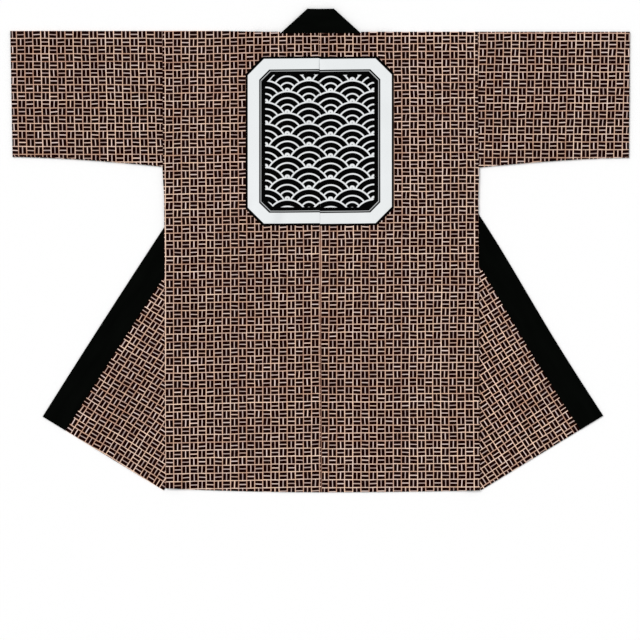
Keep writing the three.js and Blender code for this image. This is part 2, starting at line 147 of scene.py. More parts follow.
# Finer creases of the top layer, in the same columns
CREASES = (
    (46, -452, 58, 60, 9, 0.7),
    (84, -474, 62, 66, 10, 0.6),
    (-128, -560, 95, 150, 13, 0.5),
    (-246, -560, 88, 120, 11, 0.6),
    (232, -500, 96, 130, 14, 0.8),
    (258, -610, 84, 90, 10, 0.5),
    (150, -700, 80, 110, 14, 0.5),
    (-60, -760, 92, 80, 12, 0.4),
    (30, -800, 70, 60, 12, 0.4),
    (-250, -330, 84, 90, 12, 0.5),
    (250, -300, 98, 90, 12, 0.5),
    (-380, -60, 84, 60, 12, 0.4),
    (-470, -150, 96, 60, 12, 0.4),
    (-520, -70, 88, 80, 10, 0.4),
    (380, -90, 98, 70, 11, 0.6),
    (450, -170, 104, 50, 10, 0.5),
    (520, -100, 88, 80, 11, 0.5),
    (-300, -160, 92, 80, 9, 0.4),
    (304, -150, 88, 80, 9, 0.4),
)


def smooth(t):
    """An eased step: 3 t squared less 2 t cubed, with t held between 0 and 1."""
    c = np.clip(t, 0.0, 1.0)
    return c * c * (3.0 - 2.0 * c)


def cover(distance, margin, reach):
    """1 up to margin away from a thing, sinking to 0 over reach."""
    return smooth((margin + reach - distance) / reach)


def outside(outline, x, y):
    """Distance outside a convex outline given counterclockwise: the greatest of the distances to
    the right of its edges, negative inside."""
    most = np.full(np.broadcast(x, y).shape, -np.inf)
    for p, q in zip(outline, outline[1:] + outline[:1]):
        edge = math.hypot(q[0] - p[0], q[1] - p[1])
        off = ((x - p[0]) * (q[1] - p[1]) - (y - p[1]) * (q[0] - p[0])) / edge
        most = np.maximum(most, off)
    return most


def ridges(table, x, y):
    """The sum of soft ridges: each is its height times a bell over its length and its width, with
    the foot of the bell cut off so that it ends level with the cloth round it."""
    total = np.zeros(np.broadcast(x, y).shape)
    for at_x, at_y, turn, length, width, height in table:
        c = math.cos(math.radians(turn))
        s = math.sin(math.radians(turn))
        along = ((x - at_x) * c + (y - at_y) * s) / length
        across = ((y - at_y) * c - (x - at_x) * s) / width
        crest = np.exp(-along * along - across * across) - WAVE_FOOT
        total += height * np.maximum(crest, 0.0) / (1.0 - WAVE_FOOT)
    return total


def relief(x, y, crease_height):
    """Height of the top layer over the places that it lies on: its waves, and its finer creases
    times their height."""
    return ridges(WAVES, x, y) + crease_height * ridges(CREASES, x, y)


def offset_from(line, x, y):
    """Signed distance of a place from a line, along the line's normal."""
    return (x - line.at[0]) * line.normal[0] + (y - line.at[1]) * line.normal[1]


def y_on(line, x):
    """Where a line passes at x."""
    return line.at[1] + (x - line.at[0]) * line.along[1] / line.along[0]


def side_of(**sizes):
    """One side of the coat as if it were the left one: its sizes, the slanted fold from the foot of
    the side seam to the collar's free edge, and the outlines of what the fold swings out."""
    s = SimpleNamespace(**sizes)
    foot = (-s.half_width, -s.hem_at_side - s.front_below)
    top = (BAND_WIDTH - s.neck_half, NECK_WIDTH - NECK_DROP - FOLD_SPACE)
    length = math.hypot(top[0] - foot[0], top[1] - foot[1])
    along = ((top[0] - foot[0]) / length, (top[1] - foot[1]) / length)
    s.fold = SimpleNamespace(at=foot, along=along, normal=(along[1], -along[0]))
    s.top = top

    def mirrored(p):
        off = offset_from(s.fold, *p)
        return (p[0] - 2 * off * s.fold.normal[0], p[1] - 2 * off * s.fold.normal[1])

    seam_top = (-s.neck_half, y_on(s.fold, -s.neck_half))
    swung_seam = mirrored((-s.neck_half, front_hem(s, -s.neck_half)))
    swung_free = mirrored((top[0], front_hem(s, top[0])))
    s.band_length = math.hypot(swung_free[0] - top[0], swung_free[1] - top[1])
    s.band_along = (
        (swung_free[0] - top[0]) / s.band_length,
        (swung_free[1] - top[1]) / s.band_length,
    )
    s.band = (top, swung_free, swung_seam, seam_top)
    s.swung_cloth = (seam_top, swung_seam, foot)
    s.neck_fold = ((-s.neck_half, -NECK_DROP), seam_top, top)
    return s


def front_hem(s, x):
    """The front hem falls on a straight slant from the foot of the side seam."""
    return -s.hem_at_side - s.front_below - (x + s.half_width) * math.tan(HEM_SLANT)


def back_hem(s, x):
    """The back hem is a parabola, lowest at the centre seam."""
    return -BODY_LENGTH + (BODY_LENGTH - s.hem_at_side) * (x / s.half_width) ** 2


def shoulder_line(s, x):
    """The shoulders rise with an eased step from the neck towards the sleeves."""
    return s.shoulder_rise * smooth((-x - s.neck_half) / SHOULDER_REACH)


SIDES = {
    "left": side_of(
        sign=-1,
        half_width=289.6,
        neck_half=71.0,
        hem_at_side=843.6,
        front_below=5.5,
        bow=5.0,
        pull=4.0,
        ripple=0.0,
        waist=2.8,
        shoulder_rise=2.0,
    ),
    "right": side_of(
        sign=1,
        half_width=293.4,
        neck_half=77.0,
        hem_at_side=847.5,
        front_below=0.7,
        bow=13.0,
        pull=-1.0,
        ripple=3.8,
        waist=1.8,
        shoulder_rise=0.5,
    ),
}


def front_height(s, x, y):
    """Underside of the part of the front that isn't swung out: it lies over the swung band and the
    swung cloth, passes full height for a margin beyond them, and sinks with an eased step."""
    over_band = OVER_BAND * cover(outside(s.band, x, y), MARGIN + s.bow, REACH)
    over_cloth = OVER_CLOTH * cover(outside(s.swung_cloth, x, y), MARGIN, REACH)
    return np.maximum(over_band, over_cloth)


def neck_height(x):
    """Underside at the back of the neck, which sags where no cloth is under it."""
    return NECK_LEVEL - NECK_SAG * cover(np.abs(x), 0.0, SAG_REACH)


def back_level(s, x, y):
    """Underside of the back without its waves: over the front up to the slanted fold, over the
    collar's folds and along the neck, sinking to the floor past each with an eased step."""
    off = np.maximum(offset_from(s.fold, x, y), 0.0)
    fold_x = x - off * s.fold.normal[0]
    fold_y = y - off * s.fold.normal[1]
    over_front = (front_height(s, fold_x, fold_y) + OVER_CLOTH) * cover(off, BACK_MARGIN, BACK_REACH)
    over_collar = NECK_LEVEL * cover(outside(s.neck_fold, x, y), MARGIN, REACH)
    past_neck = np.maximum(-s.neck_half - x, 0.0)
    below_neck = np.maximum(-NECK_DROP - y, 0.0)
    at_neck = neck_height(x) * cover(np.hypot(past_neck, below_neck), GAP, NECK_REACH)
    return np.maximum(np.maximum(over_front, over_collar), at_neck)


def fold_over(line, radius, x, y):
    """Folds flat places over a line. Before the line they stay, past it they are mirrored, and
    between they follow a half circle. The turn, from 0 to pi, says how far round it they lie."""
    off = offset_from(line, x, y)
    half = math.pi * radius / 2
    turn = np.clip((off + half) / radius, 0.0, math.pi)
    to = np.where(off > half, -off, np.where(off > -half, radius * np.sin(turn) - half, off))
    return x + line.normal[0] * (to - off), y + line.normal[1] * (to - off), turn


def bowed(s, x, y):
    """Moves what is swung out sideways: by a parabola down its length, which is its bow, less a
    straight pull, and by one wave of a sine over its lower two thirds, which is its ripple. Nothing
    moves at the fold."""
    down = ((x - s.top[0]) * s.band_along[0] + (y - s.top[1]) * s.band_along[1]) / s.band_length
    from_fold = -offset_from(s.fold, x, y)
    wave = s.ripple * np.sin(math.pi * np.clip((down - RIPPLE_START) / RIPPLE_HALF, 0.0, 2.0))
    out = (down * (4 * s.bow * (1 - down) - s.pull) + wave) * smooth(from_fold / BOW_EASE)
    return x + out * s.band_along[1], y - out * s.band_along[0]


def drawn_in(s, x, y):
    """Moves the side edge in by the waist, with an eased step down from the armhole that fades out
    away from the edge."""
    down = smooth((-ARMHOLE_DEPTH - y) / WAIST_REACH)
    return x + s.waist * down * (1 - smooth((x + s.half_width) / WAIST_REACH))


def bend(above, below, turn):
    """Height on a half circle from one level down to another."""
    return (above + below) / 2 + (above - below) / 2 * np.cos(turn)


def swung(s, x, y):
    """Folds flat places over the slanted fold and bows what is swung out."""
    fx, fy, turn = fold_over(s.fold, FOLD_RADIUS, x, y)
    bx, by = bowed(s, fx, fy)
    out = turn >= math.pi
    return np.where(out, bx, fx), np.where(out, by, fy), turn


def shares(parts, low_edge=0.0, high_edge=0.0):
    """Even shares from 0 to 1, with one more share near each end that is an open edge."""
    even = np.linspace(0.0, 1.0, parts + 1)
    near_low = [low_edge] if low_edge else []
    near_high = [1.0 - high_edge] if high_edge else []
    return np.concatenate([even[:1], near_low, even[1:-1], near_high, even[-1:]])


def between(low, high, share):
    """Rows of values from low to high, one row for each share."""
    return low[None, :] + (high - low)[None, :] * share[:, None]


def placed(sign, x, y):
    """Where a place of one side ends up: on its own side of the coat, leaning with the body."""
    return -sign * x + LEAN * (-y / BODY_LENGTH - 0.5) + MIDDLE[0], y + MIDDLE[1]


# How the print lies on each piece, in millimetres: where its first column and row of cells start,
# the size of a cell, the middle of the piece, how far a column drifts sideways for each millimetre
# up, how far a row climbs for each one to the right, how far the front's cells are moved on, and
# how far the cells at the upper centre seam are spread away from it
PRINT_COLUMNS = ("start", "cell", "middle", "drift", "rise", "front", "spread")
PRINTS = {
    "body_left": ((-1.5, 379.1), (14.98, 14.36), (-146, -50), -0.0014, 0.0195, (4.5, -8.8), 0.3),
    "body_right": ((0.8, 382.1), (14.96, 14.38), (146, -50), 0.0004, 0.0075, (7.3, -11.0), 0.9),
    "sleeve_left": ((-559.3, 378.1), (14.98, 14.3), (-430, 282), -0.018, 0.0, (0.0, 0.0), 0.0),
    "sleeve_right": ((306.1, 373.2), (14.97, 14.38), (430, 282), 0.027, 0.0, (0.0, 0.0), 0.0),
}
FRONT_EASE = 300.0
SPREAD_AT = -40.0
SPREAD_HALF_WIDTH = 40.0
SPREAD_HALF_HEIGHT = 110.0

# The middle of the panel, how steeply each half of it climbs, and how far off a half's middle is
PANEL_AT = (-0.65, 202.25)
PANEL_RISE = 0.010
HALF_PANEL_AT = 65.0

# Where the cloth has moved sideways: middle, half width, half height and the way that it moved
SHIFTS = (
    (-150, 0, 260, 150, 0.9),
    (244, -235, 60, 130, -2.8),
    (150, 120, 200, 120, 0.8),
)


def print_map(name, x, y):
    """Columns and rows of cells: the distance from the first column and row by the size of a cell.
    Where the cloth has moved, its cells move with it, by a bell over each place. A bell over the
    upper centre seam spreads the cells away from it. The front's cells are moved on by an eased
    step past the shoulder."""
    p = SimpleNamespace(**dict(zip(PRINT_COLUMNS, PRINTS[name])))
    right = x - p.middle[0]
    up = y - p.middle[1]
    shift = sum(
        size * np.exp(-(((x - at_x) / half_x) ** 2) - ((y - at_y) / half_y) ** 2)
        for at_x, at_y, half_x, half_y, size in SHIFTS
    )
    on_front = smooth((y - MIDDLE[1] - 2 * SHOULDER_HALF) / FRONT_EASE)
    to_middle = -math.copysign(1.0, p.middle[0])
    near_seam = -((x / SPREAD_HALF_WIDTH) ** 2) - ((y - SPREAD_AT) / SPREAD_HALF_HEIGHT) ** 2
    shift -= to_middle * p.spread * np.exp(near_seam)
    columns = x - p.start[0] - p.drift * up - shift - to_middle * p.front[0] * on_front
    rows = p.start[1] + p.rise * right + p.front[1] * on_front - y
    return np.stack([columns / p.cell[0], rows / p.cell[1]], axis=-1)


def body_columns(s):
    """Where the columns of a body length lie: from its side edge to the sewn edge of the neck, and
    from there to the centre seam."""
    x_end = -s.neck_half - SEAM - NECK_CLEARANCE
    outer_parts = round((s.half_width + x_end) / FINE)
    spacing = shares(outer_parts, BODY_EDGE_SHARE, BODY_EDGE_SHARE)
    outer = -s.half_width + (s.half_width + x_end) * spacing
    inner = x_end + NECK_CLEARANCE
    inner = inner + (-CENTRE_SEAM - inner) * shares(NECK_PARTS, 0.0, NECK_EDGE_SHARE)
    return x_end, outer, inner


def body_back(s, x, top, crease_height):
    """The back, from the hem up to the top line: over what lies under it, with its relief."""
    back_y = between(back_hem(s, x), top, shares(round(BODY_LENGTH / FINE), EDGE / BODY_LENGTH))
    back_x = drawn_in(s, x, back_y)
    lift = relief(-s.sign * back_x, back_y, crease_height)
    return back_x, back_y, back_level(s, back_x, back_y) + lift + WALL / 2


def body_front(s, x, x_end, top):
    """The front as it lies flat, from the top line down to the hem, with rows along the slanted
    fold. Below the fold its sewn edge closes up to the band with eased steps."""
    fold_y = y_on(s.fold, x)
    reach = FOLD_HALF / s.fold.along[0]
    hem = front_hem(s, x)
    bend_from = np.maximum(fold_y + reach, hem)
    bend_to = np.maximum(fold_y - reach, hem)
    front_y = np.concatenate(
        [
            between(top, bend_from, shares(FRONT_PARTS)),
            between(bend_from, bend_to, shares(FOLD_PARTS))[1:],
            between(bend_to, hem, shares(SWUNG_PARTS, 0.0, EDGE / BODY_LENGTH))[1:],
        ]
    )
    by_seam = smooth(1 - (x_end - x) / CLOSING_WIDTH)
    seam_from = y_on(s.fold, -s.neck_half) - BAND_WIDTH / 2
    closing = smooth((seam_from - front_y) / CLOSING_LENGTH)
    front_x = drawn_in(s, x, front_y) + (NECK_CLEARANCE + GAP) * by_seam * closing
    return front_x, front_y


def rolled_edge(s, points, path_x, path_y):
    """Adds columns outside the side edge, on a half circle down to the front's level, to the points
    of a body length and to their places on the cut."""
    roll = math.pi * shares(ROLL_PARTS)[:0:-1]
    edge_x, edge_y, edge_z = (points[:, :1, axis] for axis in range(3))
    radius = (edge_z - front_height(s, edge_x, edge_y) - WALL / 2) / 2
    rolled_x = edge_x - np.abs(radius) * np.sin(roll)
    rolled_y = np.broadcast_to(edge_y, rolled_x.shape)
    rolled_z = edge_z - radius * (1 - np.cos(roll))
    rolled = np.stack([rolled_x, rolled_y, rolled_z], axis=-1)
    past_x = edge_x - radius * roll
    past_y = np.broadcast_to(path_y[:, :1], rolled_x.shape)
    points = np.concatenate([rolled, points], axis=1)
    path_x = np.concatenate([past_x, path_x], axis=1)
    return points, path_x, np.concatenate([past_y, path_y], axis=1)


def body_grid(s, name, crease_height):
    """One body length on a grid of columns across the cloth and rows along it: up the back from the
    hem, round a half circle over the shoulder, and down the front, folded on the slant. Columns past
    the end of the shoulder belong to the back alone, and four more columns roll the side edge over
    to the front below the armhole. Its maps are the print, the cut, and the distances to the centre
    seam and to the band's seam."""
    x_end, outer, inner = body_columns(s)
    x = np.concatenate([outer, inner])
    neckline = -NECK_DROP - SEAM - NECK_CLEARANCE * np.clip(x / x_end, 0.0, 1.0)
    top = np.where(x <= x_end, shoulder_line(s, x) - SHOULDER_HALF, neckline)
    back_x, back_y, back_z = body_back(s, x, top, crease_height)
    front_x, front_y = body_front(s, x, x_end, top)
    swung_x, swung_y, turn = swung(s, front_x, front_y)
    front_z = bend(front_height(s, swung_x, swung_y) + WALL / 2, WALL / 2, turn)

    round_turn = math.pi * shares(FOLD_PARTS)[1:-1, None]
    round_y = top + SHOULDER_RADIUS * np.sin(round_turn)
    round_x = np.broadcast_to(x, round_y.shape)
    round_z = bend(back_z[-1], front_z[0], round_turn)
    over_top = top + SHOULDER_RADIUS * round_turn
    past_top = 2 * top + 2 * SHOULDER_HALF - front_y
    points = np.stack(
        [
            np.concatenate([back_x, round_x, swung_x]),
            np.concatenate([back_y, round_y, swung_y]),
            np.concatenate([back_z, round_z, front_z]),
        ],
        axis=-1,
    )
    path_x = np.concatenate([back_x, round_x, front_x])
    path_y = np.concatenate([back_y, over_top, past_top])
    points, path_x, path_y = rolled_edge(s, points, path_x, path_y)

    rows, columns = path_x.shape
    back_rows = len(back_y)
    to_centre = np.full((rows, columns), FAR)
    to_centre[:back_rows] = -CENTRE_SEAM - path_x[:back_rows]
    to_band = np.full((rows, columns), FAR)
    to_band[-len(front_y):] = x_end - path_x[-len(front_y):]
    on_back = np.arange(rows - 1)[:, None] < back_rows - 1
    column = np.arange(columns - 1)[None, :]
    goes_over = column < ROLL_PARTS + len(outer) - 1
    below_armhole = points[:-1, :1, 1] < -ARMHOLE_DEPTH - ROLL_CLEARANCE
    keep = np.where(column < ROLL_PARTS, on_back & below_armhole, on_back | goes_over)
    flat_x, flat_y = placed(s.sign, path_x, path_y)
    maps = {
        "Print": print_map(name, flat_x, flat_y),
        "Cut": panel_map(flat_x, flat_y),
        "Seams": np.stack([to_centre, to_band], axis=-1) * MM,
    }
    return place_points(s.sign, points), maps, keep


def panel_map(x, y):
    """Places on the cut in metres from the middle of the panel. Each half of the panel climbs a
    little to the right, about the middle of that half."""
    right = x - PANEL_AT[0]
    rise = PANEL_RISE * (right - np.copysign(HALF_PANEL_AT, right))
    return np.stack([right, y - PANEL_AT[1] - rise], axis=-1) * MM


def place_points(sign, points):
    """Places a grid of points of one side in the frame, in metres."""
    x, y = placed(sign, points[..., 0], points[..., 1])
    return np.stack([x, y, points[..., 2]], axis=-1) * MM


def sleeve_grid(s, name, crease_height):
    """A sleeve on a grid of columns out from the armhole and rows round the arm: up the upper layer
    from the underarm seam, a half circle over the top edge, down the lower layer, and a half circle
    back at the seam. The underarm seam's depth falls with a power of the distance from the cuff."""
    armhole = -s.half_width - GAP
    spacing = shares(round(SLEEVE_LENGTH / FINE), SLEEVE_EDGE_SHARE, SLEEVE_EDGE_SHARE)
    out = SLEEVE_LENGTH * spacing
    along = 1 - out / SLEEVE_LENGTH
    depth = CUFF_DEPTH + (ARMHOLE_DEPTH - CUFF_DEPTH) * along ** UNDERARM_BEND
    top = shoulder_line(s, armhole - out) - SHOULDER_HALF
    down = shares(round(ARMHOLE_DEPTH / FINE))[:, None]
    layer_x = armhole - out + CUFF_TAPER * (out / SLEEVE_LENGTH) * down
    layer_y = top - (depth - 2 * SHOULDER_HALF) * down
    level = OVER_CLOTH + WALL / 2
    upper_z = level + relief(-s.sign * layer_x, layer_y, crease_height)
    lower_z = np.full(layer_x.shape, WALL / 2)
    turn = math.pi * shares(FOLD_PARTS)[1:-1, None]
    top_x = np.broadcast_to(layer_x[0], (len(turn), len(out)))
    low_x = np.broadcast_to(layer_x[-1], (len(turn), len(out)))
    top_y = layer_y[0] + SHOULDER_RADIUS * np.sin(turn)
    low_y = layer_y[-1] - SHOULDER_RADIUS * np.sin(turn)
    top_z = bend(upper_z[0], lower_z[0], turn)
    low_z = bend(lower_z[-1], upper_z[-1], turn)
    x = np.concatenate([layer_x[::-1], top_x, layer_x, low_x, layer_x[-1:]])
    y = np.concatenate([layer_y[::-1], top_y, layer_y, low_y, layer_y[-1:]])
    z = np.concatenate([upper_z[::-1], top_z, lower_z, low_z, upper_z[-1:]])
    over_top = layer_y[0] + SHOULDER_RADIUS * turn
    past_top = 2 * layer_y[0] + 2 * SHOULDER_HALF - layer_y
    under = past_top[-1] + SHOULDER_RADIUS * turn
    closed = past_top[-1:] + 2 * WALL
    path_y = np.concatenate([layer_y[::-1], over_top, past_top, under, closed])
    points = np.stack([x, y, z], axis=-1)
    flat_x, flat_y = placed(s.sign, x, path_y)
    keep = np.ones((len(x) - 1, len(out) - 1), bool)
    maps = {"Print": print_map(name, flat_x, flat_y), "Cut": panel_map(flat_x, flat_y)}
    return place_points(s.sign, points), maps, keep


def collar_point(s, along, across):
    """The band from the middle of the neck to one hem. Flat, it runs outwards along the neckline. A
    fold at the end of the shoulder turns it down, and the slanted fold swings it out. along is the
    distance from the middle, across the distance from the sewn edge."""
    corner = SimpleNamespace(
        at=(-s.neck_half, -NECK_DROP),
        normal=(-math.sqrt(0.5), math.sqrt(0.5)),
    )
    x, y, turn = fold_over(corner, FOLD_RADIUS, -along, across - NECK_DROP)
    x = x + across * BAND_STRETCH * np.minimum(along / (s.neck_half - across), 1.0)
    neck_z = bend(neck_height(x), OVER_BAND, turn)
    front_x, front_y, front_turn = swung(s, x, y)
    front_z = bend(OVER_BAND, 0.0, front_turn)
    down = turn >= math.pi
    points = [
        np.where(down, front_x, x),
        np.where(down, front_y, y),
        np.where(down, front_z, neck_z) + COLLAR_WALL / 2,
    ]
    return np.stack(points, axis=-1)


def collar_rows(s):
    """Rows of the band from the middle of the neck to one hem. Each row crosses the band, slanted
    like the fold that it is next to."""
    spacing = shares(BAND_PARTS, BAND_EDGE_SHARE, BAND_EDGE_SHARE)
    across = SEAM + (NECK_WIDTH - SEAM) * spacing
    folded_x = across * (1 + BAND_STRETCH) - s.neck_half
    at_slant = s.neck_half - NECK_DROP - y_on(s.fold, folded_x)
    slant_reach = FOLD_HALF / s.fold.along[0]
    corner = s.neck_half - across
    stops = [
        np.zeros_like(across),
        corner - FOLD_HALF * math.sqrt(2),
        corner + FOLD_HALF * math.sqrt(2),
        at_slant - slant_reach,
        at_slant + slant_reach,
        s.neck_half - NECK_DROP - front_hem(s, folded_x),
    ]
    swung_parts = round(s.band_length / FINE)
    parts = [HALF_NECK_PARTS, FOLD_PARTS, SHOULDER_BAND_PARTS, FOLD_PARTS, swung_parts]
    along = [stops[0][None, :]]
    for low, high, count in zip(stops, stops[1:], parts):
        last = EDGE / s.band_length if high is stops[-1] else 0.0
        along.append(between(low, high, shares(count, 0.0, last))[1:])
    along = np.concatenate(along)
    return along, np.broadcast_to(across, along.shape)


def collar_grid():
    """The whole band, from the hem of one front round the neck to the hem of the other."""
    halves = []
    cuts = []
    for s in SIDES.values():
        along, across = collar_rows(s)
        halves.append(place_points(s.sign, collar_point(s, along, across)))
        cuts.append(np.stack([across, s.sign * along], axis=-1) * MM)
    points = np.concatenate([halves[0][::-1], halves[1][1:]])
    cut = np.concatenate([cuts[0][::-1], cuts[1][1:]])
    keep = np.ones((points.shape[0] - 1, points.shape[1] - 1), bool)
    return points, {"Cut": cut}, keep


def cloth_object(name, points, maps, keep, wall, material, flipped):
    """A piece of cloth: the quads between neighbouring points of a grid where keep is set, smooth,
    with its maps, and a wall of the cloth's thickness built evenly to both sides."""
    rows, columns = points.shape[:2]
    number = np.arange(rows * columns).reshape(rows, columns)
    corners = [number[:-1, :-1], number[:-1, 1:], number[1:, 1:], number[1:, :-1]]
    quads = np.stack(corners, axis=-1)[keep]
    if flipped:
        quads = quads[:, ::-1]
    used, renumbered = np.unique(quads, return_inverse=True)
    quads = renumbered.reshape(quads.shape)
    mesh = bpy.data.meshes.new(name)
    mesh.from_pydata(points.reshape(-1, 3)[used], [], quads.tolist())
    loops = used[quads.ravel()]
    for map_name, values in maps.items():
        layer = mesh.uv_layers.new(name=map_name)
        layer.uv.foreach_set("vector", values.reshape(-1, 2)[loops].astype(np.float32).ravel())
    mesh.polygons.foreach_set("use_smooth", np.ones(len(quads), bool))
    merge = bmesh.new()
    merge.from_mesh(mesh)
    bmesh.ops.remove_doubles(merge, verts=merge.verts, dist=0.00001)
    merge.to_mesh(mesh)
    merge.free()
    mesh.materials.append(material)
    piece = bpy.data.objects.new(name, mesh)
    bpy.context.scene.collection.objects.link(piece)
    shell = piece.modifiers.new("Cloth thickness", "SOLIDIFY")
    shell.thickness = wall * MM
    shell.offset = 0.0
    return piece


# Materials

# The print, in shares of a cell: how its lines wander and tremble, how far its bars are moved, half
# the line between two bars, how far the bars' sides and ends lie from the middle, how far out the
# middle line's colour reaches, and the bars' soft edges. The tints are for warm and cool patches.
WANDER_SCALE = 0.3
TREMBLE = 0.02
TREMBLE_SCALE = 2.6
BAR_SHIFT = 0.04
MIDDLE_HALF = 0.040
MIDDLE_SPREAD = 0.024
BAR_SIDE = 0.450
BAR_END = 0.453
MIDDLE_ZONE = (0.2, 0.4)
DYE_SOFT = 0.015
DYE_EDGE = 0.025
WARM = (1.04, 0.985, 0.89)
COOL = (0.955, 1.015, 1.075)

# The cloth: the height and strength of its threads' relief, how much threads and slubs count in it,
# how much wear and threads change its tone, and its gloss and sheen
THREAD_HEIGHT = 0.00006
THREAD_STRENGTH = 0.5
SLUB = 0.8
WEAR = 0.16
THREAD_TONE = 0.03
GLOSS = 0.008
SHEEN = 0.008
SHEEN_ROUGHNESS = 0.6

# How far from a seam its painted shade ends, in metres, and what the painted shade at the band
# leaves of a colour
CENTRE_SHADE = (0.0007, 0.0011)
BAND_SHADE = (-0.0008, -0.0002)
BAND_TINT = (0.04, 0.03, 0.03)

# The panel's outlines in metres: half width, half height and cut corner
BLACK_OUTER = (0.1371, 0.1562, 0.0313)
WHITE_OUTER = (0.1330, 0.1521, 0.0299)
WHITE_INNER = (0.1119, 0.1323, 0.0186)
THIN_OUTER = (0.10945, 0.12995, 0.0178)
THIN_INNER = (0.10815, 0.12865, 0.0174)
WAVE_FIELD = (0.1005, 0.1222, 0.0150)
PANEL_SOFT = 0.0003
THIN_SHARE = 0.55

# Where the waves start, and each ring's place and half width as shares of a wave's radius
WAVE_START = (0.5, 0.35)
WAVE_RINGS = ((0.965, 0.036), (0.66, 0.034), (0.36, 0.034), (0.08, 0.05))
RING_SOFT = 0.01


def linear(r, g, b):
    """A colour on the screen as the light that it stands for."""
    return tuple((v / 12.92 if v <= 0.04045 else ((v + 0.055) / 1.055) ** 2.4) for v in (r, g, b))


class Number:
    """A number that flows through a material's nodes. Arithmetic with it adds Math nodes."""

    def __init__(self, tree, socket):
        self.tree = tree
        self.socket = socket

    def sent(self, operation, *others):
        """What a Math node makes of this number and any others."""
        node = self.tree.nodes.new("ShaderNodeMath")
        node.operation = operation
        for slot, value in zip(node.inputs, (self, *others)):
            plug(self.tree, value, slot)
        return Number(self.tree, node.outputs[0])

    def __add__(self, other):
        return self.sent("ADD", other)

    def __sub__(self, other):
        return self.sent("SUBTRACT", other)

    def __mul__(self, other):
        return self.sent("MULTIPLY", other)

    def __neg__(self):
        return self.sent("MULTIPLY", -1.0)

    def __abs__(self):
        return self.sent("ABSOLUTE")

    def floor(self):
        return self.sent("FLOOR")

    def fraction(self):
        return self.sent("FRACT")

    def least(self, other):
        return self.sent("MINIMUM", other)

    def most(self, other):
        return self.sent("MAXIMUM", other)

    def below(self, other):
        return self.sent("LESS_THAN", other)

    def sine(self):
        return self.sent("SINE")

    def root(self):
        return self.sent("SQRT")

    def opposite(self):
        return -self + 1.0

    def eased(self, low, high):
        """An eased step from 0 at low to 1 at high."""
        node = self.tree.nodes.new("ShaderNodeMapRange")
        node.interpolation_type = "SMOOTHSTEP"
        plug(self.tree, self, node.inputs["Value"])
        plug(self.tree, low, node.inputs["From Min"])
        plug(self.tree, high, node.inputs["From Max"])
        return Number(self.tree, node.outputs["Result"])

    def blend(self, other, share):
        """This number at share 0 and the other at share 1."""
        return self + (other - self) * share


def plug(tree, value, slot):
    """Links a flowing number or colour to a socket, or sets the socket to a plain value."""
    if isinstance(value, Number):
        tree.links.new(value.socket, slot)
    elif isinstance(value, bpy.types.NodeSocket):
        tree.links.new(value, slot)
    else:
        slot.default_value = value


class Finish:
    """A material in the making, with one method for each kind of node that the cloth needs."""

    def __init__(self, name):
        self.material = bpy.data.materials.new(name)
        self.material.use_nodes = True
        self.tree = self.material.node_tree
        self.shader = self.tree.nodes["Principled BSDF"]

    def map(self, name):
        """The two coordinates of one of the piece's own maps."""
        place = self.tree.nodes.new("ShaderNodeUVMap")
        place.uv_map = name
        split = self.tree.nodes.new("ShaderNodeSeparateXYZ")
        self.tree.links.new(place.outputs["UV"], split.inputs[0])
        return Number(self.tree, split.outputs[0]), Number(self.tree, split.outputs[1])

    def vector(self, x, y, z):
        """Three numbers as one place."""
        join = self.tree.nodes.new("ShaderNodeCombineXYZ")
        for value, slot in zip((x, y, z), join.inputs):
            plug(self.tree, value, slot)
        return join.outputs[0]

    def chance(self, x, y, kind):
        """A number from 0 to 1 that is the same wherever x and y are, and differs by kind."""
        node = self.tree.nodes.new("ShaderNodeTexWhiteNoise")
        node.noise_dimensions = "3D"
        self.tree.links.new(self.vector(x, y, kind), node.inputs["Vector"])
        return Number(self.tree, node.outputs["Value"])

    def cloud(self, x, y, kind, scale):
        """Soft uneven noise from 0 to 1. The kind tells one noise from another."""
        node = self.tree.nodes.new("ShaderNodeTexNoise")
        node.noise_dimensions = "3D"
        node.inputs["Scale"].default_value = scale
        node.inputs["Detail"].default_value = 2.0
        self.tree.links.new(self.vector(x, y, kind), node.inputs["Vector"])
        return Number(self.tree, node.outputs["Fac"])

    def mix(self, share, first, second):
        """The first colour at share 0 and the second at share 1."""
        node = self.tree.nodes.new("ShaderNodeMix")
        node.data_type = "RGBA"
        plug(self.tree, share, node.inputs["Factor"])
        slots = [slot for slot in node.inputs if slot.type == "RGBA"]
        for value, slot in zip((first, second), slots):
            plug(self.tree, (*value, 1.0) if isinstance(value, tuple) else value, slot)
        return next(slot for slot in node.outputs if slot.type == "RGBA")

    def scaled(self, colour, factor):
        """A colour times a number."""
        node = self.tree.nodes.new("ShaderNodeVectorMath")
        node.operation = "SCALE"
        plug(self.tree, colour, node.inputs[0])
        plug(self.tree, factor, node.inputs["Scale"])
        return node.outputs[0]

    def tinted(self, colour, tint):
        """A colour times another, one channel at a time."""
        node = self.tree.nodes.new("ShaderNodeVectorMath")
        node.operation = "MULTIPLY"
        plug(self.tree, colour, node.inputs[0])
        plug(self.tree, tint, node.inputs[1])
        return node.outputs[0]

    def bump(self, height):
        """Relief of the threads from a height, for light only."""
        node = self.tree.nodes.new("ShaderNodeBump")
        node.inputs["Distance"].default_value = THREAD_HEIGHT
        node.inputs["Strength"].default_value = THREAD_STRENGTH
        plug(self.tree, height, node.inputs["Height"])
        self.tree.links.new(node.outputs[0], self.shader.inputs["Normal"])

    def cotton(self, roughness):
        """Dry cotton: hardly any gloss, and a soft sheen at grazing angles."""
        self.shader.inputs["Roughness"].default_value = roughness
        self.shader.inputs["Specular IOR Level"].default_value = GLOSS
        self.shader.inputs["Sheen Weight"].default_value = SHEEN
        self.shader.inputs["Sheen Roughness"].default_value = SHEEN_ROUGHNESS


